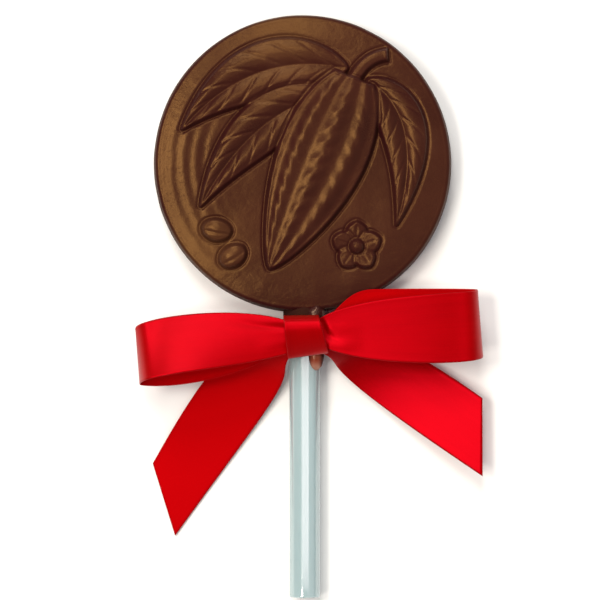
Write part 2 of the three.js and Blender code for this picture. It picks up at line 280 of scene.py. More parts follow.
def chocolateMaterial(name, s):
    m = Nodes(name)
    place = m.add("ShaderNodeTexCoord").outputs["Object"]
    broad, cloud, grain = (m.noise(place, s[kind]) for kind in ("broad", "cloud", "grain"))
    tone = m.weighted(m.ramp(broad, *s["broad"]["between"]), s["broad"]["share"],
                      m.ramp(cloud, *s["cloud"]["between"]), s["cloud"]["share"])
    base = m.mix(tone, s["deep"], s["warm"])
    # dull bloom: thin scuffs, and a few paler smudges
    scuff, smudge = (m.ramp(m.noise(place, s[kind]), *s[kind]["between"]) for kind in ("scuffs", "smudges"))
    dull = m.weighted(scuff, s["scuffs"]["share"], smudge, s["smudges"]["share"], clamp=True)
    base = m.mix(dull, base, s["bloom"])
    spot = m.add("ShaderNodeSeparateXYZ", Vector=place).outputs
    for (x, y), radius, share in s["paintedGlareSpots"]:
        # painted highlight: a soft yellowish glare painted into the colour near the rim, uneven as the cloud
        # is
        dx, dy = m.math("SUBTRACT", spot["X"], x), m.math("SUBTRACT", spot["Y"], y)
        away = m.math("SQRT", m.weighted(dx, dx, dy, dy))
        near = m.math("MULTIPLY", m.ramp(away, radius, radius * s["paintedGlareCore"]),
                      m.ramp(cloud, *s["paintedGlareCloud"]))
        base = m.mix(m.math("MULTIPLY", near, share), base, s["paintedGlare"])
    if s["paintedHighlight"]:
        # painted highlight: a paler middle that starts at one place along Y and is palest at the tip
        aside = m.math("ABSOLUTE", m.math("SUBTRACT", spot["X"], s["middleX"]))
        middle = m.math("MULTIPLY", m.ramp(aside, *s["paintedHighlightAcross"]), m.ramp(spot["Y"], *s["paintedHighlightAlong"]))
        paintedHighlight = m.mix(m.ramp(spot["Y"], *s["paintedHighlightTipAlong"]), s["paintedHighlight"], s["paintedHighlightTip"])
        base = m.mix(middle, base, paintedHighlight)
    low, high = s["roughness"]
    grainShare = (high - low) * s["grain"]["share"]
    rough = m.math("ADD", m.weighted(tone, high - low - grainShare, grain, grainShare), low)
    # the steep side of the disc is duller than its face
    facing = m.add("ShaderNodeSeparateXYZ", Vector=m.add("ShaderNodeNewGeometry").outputs["True Normal"])
    steep = m.ramp(facing.outputs["Z"], *s["sideFacing"])
    rough = m.weighted(rough, m.math("SUBTRACT", 1.0, steep), steep, s["sideRoughness"])
    # soft unevenness, fine grain, and tiny air pits with the scuffs
    cells = m.add("ShaderNodeTexVoronoi", Vector=place, Scale=s["pits"]["scale"]).outputs["Distance"]
    hollow = m.weighted(m.ramp(cells, *s["pits"]["between"]), -1.0, scuff, -s["scuffs"]["depth"])
    normal = m.bump(cloud, s["cloud"]["bump"])
    normal = m.bump(grain, s["grain"]["bump"], normal)
    normal = m.bump(hollow, s["pits"]["bump"], normal)
    return m.finished({
        "Base Color": base, "Roughness": rough, "Normal": normal,
        "Specular IOR Level": s["specular"], "Specular Tint": (*s["specularTint"], 1),
    })


disc = {
    "radius": 36.0, "height": 10.2, "faceRadius": 34.2, "faceFall": 1.1, "faceCurve": 6,
    "shoulderRadius": 35.5, "shoulderHeight": 8.2, "backChamfer": 0.9,
    "cells": 280, "shoulderSteps": 9, "chamferSteps": 4,
    "sideShares": (0.15, 0.3, 0.45, 0.6, 0.75, 0.9, 1.0),
    "sideInset": 0.035, "sideFrom": 0.5, "sideTo": 8.9,  # the side is inset between these heights
    "backRings": (34.4, 33.4, 31, 28, 24, 19, 13, 7, 2.5), "backFlatFrom": 34, "backRise": 0.10,
    # soft ripples that follow the rim at the left
    "ripples": {"depth": 0.05, "spacing": 3.1, "lean": 0.03, "spread": 0.85,
                "inner": (18, 24), "outer": (34.0, 32)},
    "evenFrom": 31,
    "faceUneven": {"depth": 0.05, "size": 9.0, "seed": 4},
    "sideUneven": {"depth": 0.03, "size": 7.0, "seed": 9},
    "backUneven": {"depth": 0.08, "size": 11.0, "seed": 21},
}

relief = {
    "draft": 0.34,         # half width of the sloped side of each form
    "groove": 0.26, "grooveOut": 0.42, "grooveWidth": 0.30,
    "crest": 0.10, "crestIn": 0.62, "crestWidth": 0.24,
    "tipHalfWidth": 0.22,
    "leafEdge": 0.7, "leafCrown": 0.9,
    "veins": 7, "veinDepth": 0.16, "veinWidth": 0.11, "veinSlant": 1.5,
    "podEdge": 0.9, "podCrown": 2.2, "podRib": 0.3, "podRibs": 5,
    "wart": 0.09, "wartRows": 74, "wartSway": 2.1, "wartSways": 5,
    "beanEdge": 0.5, "beanCrown": 1.4, "beanCleft": 0.22, "beanCleftWidth": 0.16, "beanCleftBow": 0.25,
    "petalEdge": 0.6, "petalCrown": 0.6, "petalCleft": 0.15, "petalCleftWidth": 0.14,
    "petalLength": 5.4, "petalHalfWidth": 2.3, "petals": 5, "petalStart": 0.6,
    "stemCrown": 0.9, "stemWidth": 0.8,
    "heartRadius": 1.9, "heartRise": 0.3, "heartGrain": 0.10, "heartRays": 7, "heartRings": 3.6,
    "heartGroove": 0.2, "heartGrooveOut": 0.15, "heartGrooveWidth": 0.28,
    "flowerCentre": (13, -20),
    "pod": {"from": (12.5, 20.5), "bend": (3.5, -2), "to": (-8, -25.5), "halfWidth": 10.6},
    "stem": {"from": (11.6, 18.5), "bend": (14.5, 25.5), "to": (20.5, 26), "halfWidth": 1.7},
    "leaves": [
        {"from": (11, 22.5), "bend": (-12, 28), "to": (-29, 8), "halfWidth": 6.9},
        {"from": (7, 17), "bend": (-13, 12), "to": (-24.5, -10.5), "halfWidth": 6.1},
        {"from": (15.5, 20), "bend": (30, 11), "to": (22.5, -15), "halfWidth": 5.4},
    ],
    "beans": [
        {"from": (-24.2, -16.2), "bend": (-20.5, -15.4), "to": (-17.2, -17.4), "halfWidth": 2.6},
        {"from": (-19.4, -24.6), "bend": (-17.0, -21.9), "to": (-13.5, -21.0), "halfWidth": 2.5},
    ],
}


# The face without the design is a low dome
def fieldHeight(x, y):
    return disc["height"] - disc["faceFall"] * (np.hypot(x, y) / disc["faceRadius"]) ** disc["faceCurve"]


# Each outline gives a form's half width as a share of its widest, at t from 0 to 1 along it. Each rise
# gives its height above the field, at t along it and s from -1 to 1 across it.
def leafOutline(t):
    return np.sin(math.pi * np.clip(t, 0, 1) ** 0.8).clip(0) ** 0.9


def podOutline(t):
    return np.sin(math.pi * np.minimum(1, 0.06 + 0.94 * t) ** 0.78).clip(0) ** 0.72


def ovalOutline(t):
    return np.sqrt(np.maximum(0, 1 - (2 * t - 1) ** 2))


def roundAcross(s):
    return np.sqrt(np.maximum(0, 1 - s * s))


def leafRise(t, s):
    cushion = 1 - (2 * np.abs(s) - 1) ** 2
    phase = relief["veins"] * t - relief["veinSlant"] * np.abs(s)
    vein = np.exp(-(((phase - np.floor(phase)) - 0.5) / relief["veinWidth"]) ** 2)
    fade = smoothStep(0.03, 0.2, np.abs(s)) * smoothStep(1.0, 0.7, np.abs(s)) * ovalOutline(t)
    return (relief["leafEdge"] + relief["leafCrown"] * cushion * ovalOutline(t)
            - relief["veinDepth"] * vein * fade)


def podRise(t, s):
    body = podOutline(t)
    bow = roundAcross(s)
    angle = np.arcsin(np.clip(s, -1, 1))
    rib = np.cos(2 * relief["podRibs"] * angle)
    sway = relief["wartSway"] * np.sin(relief["wartSways"] * angle)
    wart = np.cos(relief["wartRows"] * t + sway) * (0.5 + 0.5 * rib)
    return (relief["podEdge"] + relief["podCrown"] * bow * body + relief["podRib"] * rib * bow * body
            + relief["wart"] * wart * bow * body)


def beanRise(t, s):
    bowed = s + relief["beanCleftBow"] * np.sin(math.pi * t)
    cleft = np.exp(-(bowed / relief["beanCleftWidth"]) ** 2) * ovalOutline(t)
    return (relief["beanEdge"] + relief["beanCrown"] * roundAcross(s) * ovalOutline(t)
            - relief["beanCleft"] * cleft)


def petalRise(t, s):
    ends = smoothStep(0.1, 0.4, t) * smoothStep(0.95, 0.7, t)
    cleft = np.exp(-(s / relief["petalCleftWidth"]) ** 2) * ends
    return relief["petalEdge"] + relief["petalCrown"] * (1 - s * s) * t - relief["petalCleft"] * cleft


def stemRise(t, s):
    return relief["leafEdge"] + relief["stemCrown"] * roundAcross(s)


def petalSpine(number):
    angle = math.pi / 2 + number / relief["petals"] * 2 * math.pi
    cx, cy = relief["flowerCentre"]

    def at(distance):
        return (cx + distance * math.cos(angle), cy + distance * math.sin(angle))

    end = relief["petalStart"] + relief["petalLength"]
    return {"from": at(relief["petalStart"]), "bend": at(end / 2), "to": at(end),
            "halfWidth": relief["petalHalfWidth"]}


# From the lowest to the highest: each form lies over those before it
def raisedForms():
    forms = [(spine, leafOutline, leafRise) for spine in relief["leaves"]]
    forms += [(spine, ovalOutline, beanRise) for spine in relief["beans"]]
    forms += [(petalSpine(i), lambda t: leafOutline(1 - t), petalRise)
              for i in range(relief["petals"])]
    forms.append((relief["stem"], lambda t: np.full_like(t, relief["stemWidth"]), stemRise))
    forms.append((relief["pod"], podOutline, podRise))
    return forms


def spinePoints(spine, t):
    a, b, c = (np.array(spine[key], dtype=float) for key in ("from", "bend", "to"))
    t = t[:, None]
    point = (1 - t) ** 2 * a + 2 * t * (1 - t) * b + t * t * c
    heading = 2 * (1 - t) * (b - a) + 2 * t * (c - b)
    heading /= np.linalg.norm(heading, axis=1)[:, None]
    return point, heading


# Signed distance into a form's outline, and how far along (t) and across (s) it each point lies
def formPlace(spine, width, x, y, steps=90, batch=6000):
    t = np.linspace(0, 1, steps)
    centre, heading = spinePoints(spine, t)
    side = np.stack([-heading[:, 1], heading[:, 0]], axis=1)
    spacing = np.linalg.norm(np.diff(centre, axis=0), axis=1).mean()
    half = relief["tipHalfWidth"] + spine["halfWidth"] * width(t)
    corner = np.vstack([centre + side * half[:, None], (centre - side * half[:, None])[::-1]])
    edge = np.roll(corner, -1, axis=0) - corner
    lengthSquared = (edge ** 2).sum(1).clip(1e-12)
    edgeY = np.where(np.abs(edge[:, 1]) < 1e-12, 1e-12, edge[:, 1])
    points = np.stack([x, y], axis=1)
    distance, along, across = (np.empty(len(points)) for _ in range(3))
    inside = np.zeros(len(points), dtype=bool)
    for low in range(0, len(points), batch):
        here = slice(low, low + batch)
        part = points[here]
        gap = part[:, None, :] - corner[None]
        share = ((gap * edge[None]).sum(2) / lengthSquared).clip(0, 1)
        miss = gap - share[..., None] * edge[None]
        distance[here] = np.sqrt((miss ** 2).sum(2).min(1))
        # a point is inside when a line from it towards +X crosses the outline an odd number of times
        px, py = part[:, 0, None], part[:, 1, None]
        passes = (corner[:, 1] > py) != ((corner[:, 1] + edge[:, 1]) > py)
        crossing = corner[:, 0] + (py - corner[:, 1]) * edge[:, 0] / edgeY
        inside[here] = (passes & (px < crossing)).sum(1) % 2 == 1
        fromSpine = part[:, None, :] - centre[None]
        nearest = (fromSpine ** 2).sum(2).argmin(1)
        offset = fromSpine[np.arange(len(part)), nearest]
        forward = (offset * heading[nearest]).sum(1)
        along[here] = np.clip(t[nearest] + forward / spacing / (steps - 1), 0, 1)
        across[here] = (offset * side[nearest]).sum(1)
    halfHere = relief["tipHalfWidth"] + spine["halfWidth"] * width(along)
    return np.where(inside, distance, -distance), along, np.clip(across / halfHere, -1, 1)


# A groove just outside each form and a fine crest just inside it
def outlineLines(edge):
    groove = relief["groove"] * np.exp(-((edge + relief["grooveOut"]) / relief["grooveWidth"]) ** 2)
    crest = relief["crest"] * np.exp(-((edge - relief["crestIn"]) / relief["crestWidth"]) ** 2)
    return crest - groove


def reliefHeight(x, y):
    height = np.zeros_like(x)
    for spine, width, rise in raisedForms():
        ends = np.array([spine["from"], spine["bend"], spine["to"]], dtype=float)
        reach = spine["halfWidth"] + 2
        near = ((x > ends[:, 0].min() - reach) & (x < ends[:, 0].max() + reach)
                & (y > ends[:, 1].min() - reach) & (y < ends[:, 1].max() + reach))
        edge, t, s = formPlace(spine, width, x[near], y[near])
        step = smoothStep(-relief["draft"], relief["draft"], edge)
        height[near] = height[near] * (1 - step) + rise(t, s) * step + outlineLines(edge)
    return heartOfFlower(x, y, height)


# The small dome in the middle of the flower, with a fine grain and a groove round it
def heartOfFlower(x, y, height):
    cx, cy = relief["flowerCentre"]
    radius = relief["heartRadius"]
    away = np.hypot(x - cx, y - cy)
    angle = np.arctan2(y - cy, x - cx)
    heart = relief["heartRise"] + np.sqrt(np.maximum(0, radius ** 2 - away ** 2))
    grain = np.cos(relief["heartRays"] * angle) * np.cos(relief["heartRings"] * away) > 0.45
    heart -= relief["heartGrain"] * grain
    near = away < radius
    height[near] = np.maximum(height[near], heart[near])
    fromGroove = (away - radius - relief["heartGrooveOut"]) / relief["heartGrooveWidth"]
    return height - relief["heartGroove"] * np.exp(-fromGroove ** 2)


# Smooth unevenness from a few crossing waves, mostly within the depth, and the same on each run
def softNoise(x, y, s, waves=14):
    rng = np.random.default_rng(s["seed"])
    total = np.zeros_like(x)
    for _ in range(waves):
        angle = rng.uniform(0, 2 * math.pi)
        wave = 2 * math.pi / (s["size"] * rng.uniform(0.6, 1.7))
        total += np.sin(wave * (x * math.cos(angle) + y * math.sin(angle)) + rng.uniform(0, 6.28))
    return s["depth"] * (total / waves ** 0.5 / 1.5)


def faceHeight(x, y):
    s = disc["ripples"]
    radius = np.hypot(x, y)
    leftSide = np.exp(-((np.abs(np.arctan2(y, x)) - math.pi) / s["spread"]) ** 2)
    nearRim = smoothStep(*s["inner"], radius) * smoothStep(*s["outer"], radius)
    ripples = np.sin(2 * math.pi * radius / s["spacing"] + s["lean"] * y)
    inFromEdge = smoothStep(disc["faceRadius"], disc["evenFrom"], radius)
    return (fieldHeight(x, y) + reliefHeight(x, y) + s["depth"] * ripples * leftSide * nearRim
            + softNoise(x, y, disc["faceUneven"]) * inFromEdge)


# Square grid of points pressed evenly into a circle
def roundGrid(cells, radius):
    line = np.linspace(-1, 1, cells + 1)
    gx, gy = np.meshgrid(line, line)
    wide = np.abs(gx) > np.abs(gy)
    reach = np.where(wide, gx, gy)
    safeX = np.where(gx == 0, 1e-9, gx)
    safeY = np.where(gy == 0, 1e-9, gy)
    angle = np.where(wide, math.pi / 4 * gy / safeX, math.pi / 2 - math.pi / 4 * gx / safeY)
    return radius * reach * np.cos(angle), radius * reach * np.sin(angle)


# (radius, height) from the edge of the face down to the edge of the back
def rimProfile():
    d = disc
    faceEdge = float(fieldHeight(np.array(d["faceRadius"]), np.array(0.0)))
    profile = []
    for i in range(1, d["shoulderSteps"] + 1):
        angle = math.pi / 2 * (1 - i / d["shoulderSteps"])
        profile.append((d["faceRadius"] + (d["shoulderRadius"] - d["faceRadius"]) * math.cos(angle),
                        d["shoulderHeight"] + (faceEdge - d["shoulderHeight"]) * math.sin(angle)))
    for share in d["sideShares"]:
        profile.append((d["shoulderRadius"] + (d["radius"] - d["shoulderRadius"]) * share,
                        d["shoulderHeight"] + (d["backChamfer"] - d["shoulderHeight"]) * share))
    for i in range(1, d["chamferSteps"] + 1):
        angle = math.pi / 2 * i / d["chamferSteps"]
        profile.append((d["radius"] - d["backChamfer"] * (1 - math.cos(angle)),
                        d["backChamfer"] * (1 - math.sin(angle))))
    return profile


def makeDisc(material):
    n = disc["cells"]
    row = n + 1
    x, y = (grid.ravel() for grid in roundGrid(n, disc["faceRadius"]))
    points = [np.stack([x, y, faceHeight(x, y)], axis=1)]
    faces = [(j * row + i, j * row + i + 1, (j + 1) * row + i + 1, (j + 1) * row + i)
             for j in range(n) for i in range(n)]
    # from the border of the face, rings go down the side and in under the back
    ring = (list(range(n)) + [j * row + n for j in range(n)]
            + [n * row + i for i in range(n, 0, -1)] + [j * row for j in range(n, 0, -1)])
    angle = np.arctan2(y[ring], x[ring])
    unit = np.stack([np.cos(angle), np.sin(angle)], axis=1)
    count = len(ring)
    total = row * row

    def addRing(radius, height):
        nonlocal ring, total
        level = np.column_stack([unit * np.reshape(radius, (-1, 1)), np.broadcast_to(height, count)])
        points.append(level)
        new = list(range(total, total + count))
        total += count
        for i in range(count):
            j = (i + 1) % count
            faces.append((ring[i], new[i], new[j], ring[j]))
        ring = new

    def unevenRing(radius, s):
        return softNoise(radius * unit[:, 0], radius * unit[:, 1], s)

    inset = unevenRing(disc["radius"], disc["sideUneven"]) - disc["sideInset"]
    for radius, height in rimProfile():
        addRing(radius + inset if disc["sideFrom"] < height < disc["sideTo"] else radius, height)
    for radius in disc["backRings"]:
        level = disc["backRise"] + unevenRing(radius, disc["backUneven"])
        addRing(radius, level.clip(0) * (radius < disc["backFlatFrom"]))
    points.append(np.array([[0, 0, disc["backRise"]]]))
    for i in range(count):
        faces.append((ring[i], total, ring[(i + 1) % count]))
    made = meshObject("chocolateDisc", np.vstack(points), faces, material)
    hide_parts("chocolate")


pole = 0.02  # radius of the small face that closes a turned end

# the run of chocolate beside the stick, and the bead on the rim above it
drip = {
    "x": 3.1, "z": 7.2, "startY": -33.0, "startRadius": 1.4, "flareY": -33.8,
    "rootRadius": 2.45, "rootY": -35.4, "rootEndY": -38.4,
    "endY": -49.9, "beadY": -46.4, "beadRadius": 2.15, "neckRadius": 1.4, "tipRadius": 0.1,
    "segments": 36,
    "rimBead": {"x": 3.4, "y": -35.1, "z": 8.7, "radius": 1.0, "steps": 8, "segments": 24},
    "voxel": 0.2, "smoothing": 9,
    # chocolate that ran is glossier than the moulded face, and has a highlight painted along its middle,
    # palest at its tip
    "look": {"paintedHighlight": (0.260, 0.036, 0.013), "paintedHighlightTip": (0.350, 0.155, 0.105), "middleX": 0.0031,
             "paintedHighlightAcross": (0.0018, 0.0007), "paintedHighlightAlong": (-0.0445, -0.0465),
             "paintedHighlightTipAlong": (-0.0472, -0.0490),
             "roughness": (0.22, 0.32), "specular": 0.55, "specularTint": (1.0, 0.66, 0.48)},
}


# A profile of (radius, y), from high y to low, turned about an axis along Y
def turned(profile, x, z, segments, wide=1.0, high=1.0):
    points, faces = [], []
    for radius, y in profile:
        for i in range(segments):
            angle = 2 * math.pi * i / segments
            points.append((x + wide * radius * math.cos(angle), y, z + high * radius * math.sin(angle)))
    for k in range(len(profile) - 1):
        for i in range(segments):
            j = (i + 1) % segments
            a, b = k * segments, (k + 1) * segments
            faces.append((a + i, a + j, b + j, b + i))
    faces.append(tuple(range(segments - 1, -1, -1)))
    last = (len(profile) - 1) * segments
    faces.append(tuple(range(last, last + segments)))
    return points, faces


def makeDrip(material):
    d = drip
    r, root = d["beadRadius"], d["rootRadius"]
    # out of the disc, down the root beside the stick, along the thin neck and round the bead
    run = [(d["startRadius"], d["startY"]), (d["startRadius"], d["flareY"]), (root, d["rootY"]),
           (root, d["rootEndY"] + 1.5), (0.9 * root, d["rootEndY"]),
           (d["neckRadius"], d["rootEndY"] - 0.75), (d["neckRadius"], d["beadY"] + 1.5),
           (0.94 * r, d["beadY"] + 0.75), (r, d["beadY"] + 0.2), (0.93 * r, d["beadY"] - 0.9),
           (0.72 * r, d["endY"] + 1.1), (0.35 * r, d["endY"] + 0.2), (d["tipRadius"], d["endY"])]
    points, faces = turned(run, d["x"], d["z"], d["segments"])
    bead = d["rimBead"]
    ball = []
    for k in range(bead["steps"] + 1):
        angle = math.pi * k / bead["steps"]
        ball.append((max(pole, bead["radius"] * math.sin(angle)),
                     bead["y"] + bead["radius"] * math.cos(angle)))
    more, moreFaces = turned(ball, bead["x"], bead["z"], bead["segments"])
    shift = len(points)
    points += more
    faces += [tuple(i + shift for i in face) for face in moreFaces]
    # the two are melted into one skin while a millimetre is still one unit
    mesh = bpy.data.meshes.new("dripRough")
    mesh.from_pydata(points, [], faces)
    rough = newObject("dripRough", mesh)
    remesh = rough.modifiers.new("remesh", "REMESH")
    remesh.mode = "VOXEL"
    remesh.voxel_size = d["voxel"]
    smooth = rough.modifiers.new("smooth", "SMOOTH")
    smooth.iterations = d["smoothing"]
    smooth.factor = 0.5
    depsgraph = bpy.context.evaluated_depsgraph_get()
    done = bpy.data.meshes.new_from_object(rough.evaluated_get(depsgraph))
    corners = np.empty(len(done.vertices) * 3)
    done.vertices.foreach_get("co", corners)
    doneFaces = [tuple(p.vertices) for p in done.polygons]
    bpy.data.objects.remove(rough)
    made = meshObject("chocolateDrip", corners.reshape(-1, 3), doneFaces, material)
    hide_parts("chocolate")


# short, slightly flattened collar of chocolate round the stick where it leaves the disc
collar = {
    "x": 0.35, "z": 4.9, "halfWidth": 5.0, "halfHeight": 4.15, "fromY": -33.5, "endY": -38.3,
    "endRound": 0.5, "endShare": 0.93, "roundSteps": 6, "segments": 64,
    # painted shade: its colour is darker than the disc's, for the shade under the knot; it is also rougher
    # and less glossy
    "look": {"deep": (0.0225, 0.0060, 0.0055), "warm": (0.0270, 0.0075, 0.0065),
             "roughness": (0.60, 0.75), "specular": 0.12},
}


def makeCollar(material):
    s = collar
    run = [(1, s["fromY"])]
    for k in range(s["roundSteps"] + 1):
        angle = math.pi / 2 * k / s["roundSteps"]
        run.append((s["endShare"] + (1 - s["endShare"]) * math.cos(angle),
                    s["endY"] + s["endRound"] * (1 - math.sin(angle))))
    run.append((0.9 * s["endShare"], s["endY"]))
    points, faces = turned(run, s["x"], s["z"], s["segments"], wide=s["halfWidth"], high=s["halfHeight"])
    made = meshObject("chocolateCollar", points, faces, material)
    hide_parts("chocolate")


makeDisc(chocolateMaterial("mouldedChocolate", chocolateLook))
makeDrip(chocolateMaterial("runChocolate", {**chocolateLook, **drip["look"]}))
makeCollar(chocolateMaterial("dullShadedChocolate", {**chocolateLook, **collar["look"]}))
print("chocolate ready")


# Stick

stick = {
    "radius": 3.7, "x": 0.55, "z": 4.9, "endY": -104.5, "buriedY": 9.5,
    "edge": 0.28, "edgeSteps": 5,
    "dish": ((0.9, 0.0), (1.3, 0.08)), "dishDepth": 0.1,  # hollow of its end: how far in, how deep
    "segments": 144, "rings": 56,
    "colour": (0.345, 0.455, 0.472),
    "cloudy": (0.366, 0.480, 0.490),
    "roughness": 0.05,
    "specular": 1.0, "ior": 1.8,
    "through": 0.7, "throughDepth": 0.004,  # light that spreads inside the plastic
    "clouds": {"noise": (3.0, 3.0, 0.5), "stretch": (160.0, 12.0, 160.0), "share": 0.5},
    "specks": {"noise": (900.0, 2.0, 0.5), "between": (0.70, 0.80), "share": 0.25},
    "drawLines": {"noise": (1.0, 2.0, 0.5), "stretch": (2200.0, 20.0, 2200.0), "share": 0.04,
                  "bump": 0.000002},
}


def stickMaterial(s):
    m = Nodes("palePlastic")
    place = m.add("ShaderNodeTexCoord").outputs["Object"]
    specks = m.ramp(m.noise(place, s["specks"]), *s["specks"]["between"])
    tone = m.weighted(m.noise(place, s["clouds"]), s["clouds"]["share"], specks, s["specks"]["share"])
    lines = m.noise(place, s["drawLines"])
    rough = m.math("ADD", m.math("MULTIPLY", lines, s["drawLines"]["share"]), s["roughness"])
    return m.finished({
        "Base Color": m.mix(tone, s["colour"], s["cloudy"]), "Roughness": rough,
        "Normal": m.bump(lines, s["drawLines"]["bump"]),
        "Specular IOR Level": s["specular"], "IOR": s["ior"],
        "Subsurface Weight": s["through"], "Subsurface Radius": (1.0, 1.0, 1.0),
        "Subsurface Scale": s["throughDepth"],
    })


def makeStick(s):
    # from the middle of the buried end, round its edge, down the side, and round the free end
    profile = [(pole, s["buriedY"]), (s["radius"] - s["edge"], s["buriedY"])]
    for i in range(1, s["edgeSteps"] + 1):
        angle = math.pi / 2 * i / s["edgeSteps"]
        profile.append((s["radius"] - s["edge"] * (1 - math.sin(angle)),
                        s["buriedY"] - s["edge"] * (1 - math.cos(angle))))
    for i in range(1, s["rings"]):
        profile.append((s["radius"], s["buriedY"] + (s["endY"] - s["buriedY"]) * i / s["rings"]))
    for i in range(s["edgeSteps"] + 1):
        angle = math.pi / 2 * i / s["edgeSteps"]
        profile.append((s["radius"] - s["edge"] * (1 - math.cos(angle)),
                        s["endY"] + s["edge"] * (1 - math.sin(angle))))
    profile += [(s["radius"] - inward, s["endY"] + depth) for inward, depth in s["dish"]]
    profile.append((pole, s["endY"] + s["dishDepth"]))
    points, faces = turned(profile, s["x"], s["z"], s["segments"])
    made = meshObject("stickRod", points, faces, stickMaterial(s))
    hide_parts("stick")


makeStick(stick)
print("stick ready")


# Ribbon

satin = {
    "deep": (0.240, 0.0000, 0.0000),
    "bright": (0.288, 0.0000, 0.0001),
    "wrongSide": (0.400, 0.0000, 0.0000),
    "roughness": 0.39, "wrongRoughness": 0.8,
    "specular": 1.0, "ior": 1.66,
    "specularTint": (1.0, 0.006, 0.025),
    "anisotropic": 0.35, "anisotropicTurn": 0.25,  # the sheen is long across the threads
    "tone": (0.34, 0.66), "wrongShare": 0.9,
    "threads": {"noise": (1.0, 2.0, 0.6), "stretch": (60.0, 2600.0, 1.0), "share": 0.35,
                "roughness": 0.12, "bump": 0.000012},
    "slubs": {"noise": (1.0, 2.0, 0.5), "stretch": (240.0, 420.0, 1.0), "share": 0.2, "bump": 0.00002},
    "patches": {"noise": (1.0, 2.0, 0.5), "stretch": (45.0, 90.0, 1.0), "share": 0.45},
    "wovenEdge": {"between": (0.0009, 0.0004), "share": 0.45},
    "width": 16.0, "thickness": 0.30,
    "narrowWidth": 10.0,  # of the knot and the turn, where the ribbon is gathered
    "selvedge": 0.10, "selvedgeIn": 0.35, "selvedgeWidth": 0.28,  # thicker line along each edge
    "edgeShare": 0.55,  # how much of the thickness is left at the very edge
    "mapShift": 0.1,  # how far the map of the ribbon's duller wrong side lies from that of its right side
}


def satinMaterial(s):
    m = Nodes("redSatin")
    uv = m.add("ShaderNodeUVMap")
    uv.uv_map = "ribbon"
    place = uv.outputs["UV"]
    mapY = m.add("ShaderNodeSeparateXYZ", Vector=place).outputs["Y"]
    wrong = m.math("GREATER_THAN", mapY, s["mapShift"] / 2)
    across = m.math("SUBTRACT", mapY, m.math("MULTIPLY", wrong, s["mapShift"]))
    threads, slubs, patches = (m.noise(place, s[kind]) for kind in ("threads", "slubs", "patches"))
    tone = m.weighted(threads, s["threads"]["share"], patches, s["patches"]["share"])
    tone = m.math("ADD", tone, m.math("MULTIPLY", slubs, s["slubs"]["share"]))
    colour = m.mix(m.ramp(tone, *s["tone"]), s["deep"], s["bright"])
    colour = m.mix(m.math("MULTIPLY", wrong, s["wrongShare"]), colour, s["wrongSide"])
    # woven edge: a thin duller line just inside each long edge
    half = s["width"] * mm / 2
    fromEdge = m.math("SUBTRACT", half, m.math("ABSOLUTE", m.math("SUBTRACT", across, half)))
    edge = m.math("MULTIPLY", m.ramp(fromEdge, *s["wovenEdge"]["between"]), s["wovenEdge"]["share"])
    spread = s["threads"]["roughness"]
    rough = m.math("ADD", m.math("MULTIPLY", threads, spread), s["roughness"] - spread / 2)
    rough = m.math("MAXIMUM", rough, m.math("MULTIPLY", wrong, s["wrongRoughness"]))
    tangent = m.add("ShaderNodeTangent")
    tangent.direction_type = "UV_MAP"
    tangent.uv_map = "ribbon"
    normal = m.bump(slubs, s["slubs"]["bump"], m.bump(threads, s["threads"]["bump"]))
    return m.finished({
        "Base Color": m.mix(edge, colour, s["deep"]), "Roughness": rough, "Normal": normal,
        "Specular IOR Level": s["specular"], "Specular Tint": (*s["specularTint"], 1), "IOR": s["ior"],
        "Anisotropic": s["anisotropic"], "Anisotropic Rotation": s["anisotropicTurn"],
        "Tangent": tangent.outputs["Tangent"],
    })


# Points at u, from 0 to 1, on a chain of cubic curves that share their end points
def chainPoints(points, u):
    points = np.array(points, dtype=float)
    pieces = (len(points) - 1) // 3
    index = np.minimum(pieces - 1, np.floor(u * pieces).astype(int))
    t = (u * pieces - index)[:, None]
    a, b, c, d = (points[3 * index + k] for k in range(4))
    return (1 - t) ** 3 * a + 3 * (1 - t) ** 2 * t * b + 3 * (1 - t) * t * t * c + t ** 3 * d


# Distance of each point from a path in the XY plane, and how far along the path it lies, from 0 to 1
def pathPlace(path, x, y):
    path = np.array(path, dtype=float)
    lengths = np.linalg.norm(np.diff(path, axis=0), axis=1)
    before = np.concatenate([[0], np.cumsum(lengths)])
    nearest = np.full(x.shape, np.inf)
    share = np.zeros(x.shape)
    for k in range(len(path) - 1):
        a, step = path[k], path[k + 1] - path[k]
        t = np.clip(((x - a[0]) * step[0] + (y - a[1]) * step[1]) / lengths[k] ** 2, 0, 1)
        distance = np.hypot(x - a[0] - t * step[0], y - a[1] - t * step[1])
        closer = distance < nearest
        nearest = np.where(closer, distance, nearest)
        share = np.where(closer, (before[k] + t * lengths[k]) / before[-1], share)
    return nearest, share


# Ridges and, with a lift below 0, hollows that start at a path's first point and fade out towards its
# last. hold is the share of the path where the fading starts, and spread how much wider it gets.
def foldLift(folds, x, y):
    total = np.zeros_like(x)
    for fold in folds:
        distance, share = pathPlace(fold["path"], x, y)
        fade = smoothStep(1.0, fold.get("hold", 0.25), share)
        wide = fold["width"] * (1 + fold.get("spread", 0.8) * share)
        total += fold["lift"] * fade * np.exp(-(distance / wide) ** 2)
    return total


